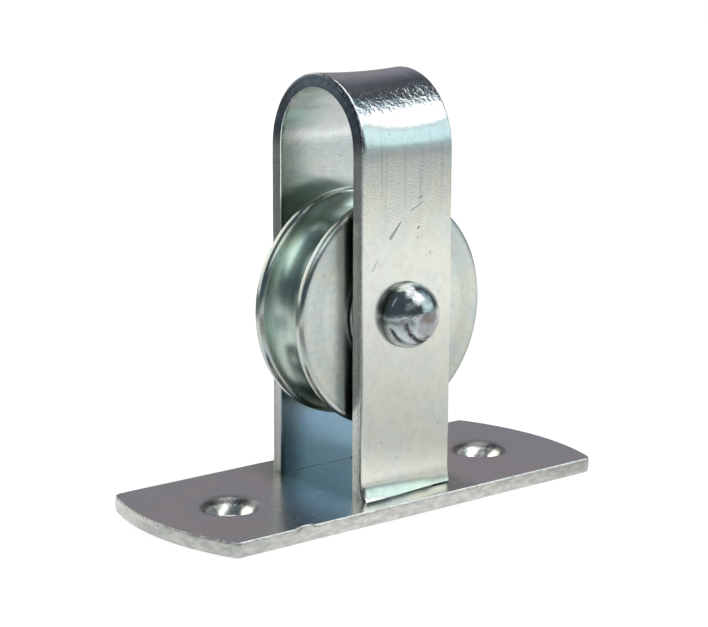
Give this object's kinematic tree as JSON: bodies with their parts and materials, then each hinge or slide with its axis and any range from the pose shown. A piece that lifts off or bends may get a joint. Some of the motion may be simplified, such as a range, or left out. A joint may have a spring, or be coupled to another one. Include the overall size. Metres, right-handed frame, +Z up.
{
  "type": "sliding door roller",
  "caption": "Screw-down steel plate with a bent strap that carries a grooved wheel on a riveted axle, to run on a rod or rail or to guide a rope.",
  "frame": {"origin": "middle of the plate's underside", "axes": "+X along the plate, +Y along the axle from the near leg to the far leg, +Z up from the plate to the top of the arch"},
  "size_m": [0.087, 0.035, 0.0743],
  "materials": {
    "plate_zinc": "bright zinc plate, semi-gloss, faint iridescence",
    "strap_zinc": "bright zinc plate, satin with drawing marks",
    "rivet_zinc": "bright zinc plate, polished by the rivet set",
    "sleeve_steel": "plain turned steel",
    "washer_zinc": "zinc plate, satin",
    "bush_bronze": "plain bearing bronze",
    "sheave_zinc": "bright zinc plate over turned steel, glossy, faint green tint"
  },
  "bodies": {
    "frame": {"base_plate": "plate_zinc", "strap": "strap_zinc", "axle_rivet": "rivet_zinc", "spacer_sleeve": "sleeve_steel", "near_washer": "washer_zinc", "far_washer": "washer_zinc"},
    "bush": {"bearing_bush": "bush_bronze"},
    "wheel": {"sheave": "sheave_zinc"}
  },
  "joints": [
    {"name": "wheel_float", "type": "slide", "parent": "frame", "child": "bush", "axis": [0, 1, 0], "range_m": [0, 0.0044]},
    {"name": "wheel_spin", "type": "hinge", "parent": "bush", "child": "wheel", "pos_m": [0, -0.0022, 0.0338], "axis": [0, 1, 0], "continuous": true}
  ]
}
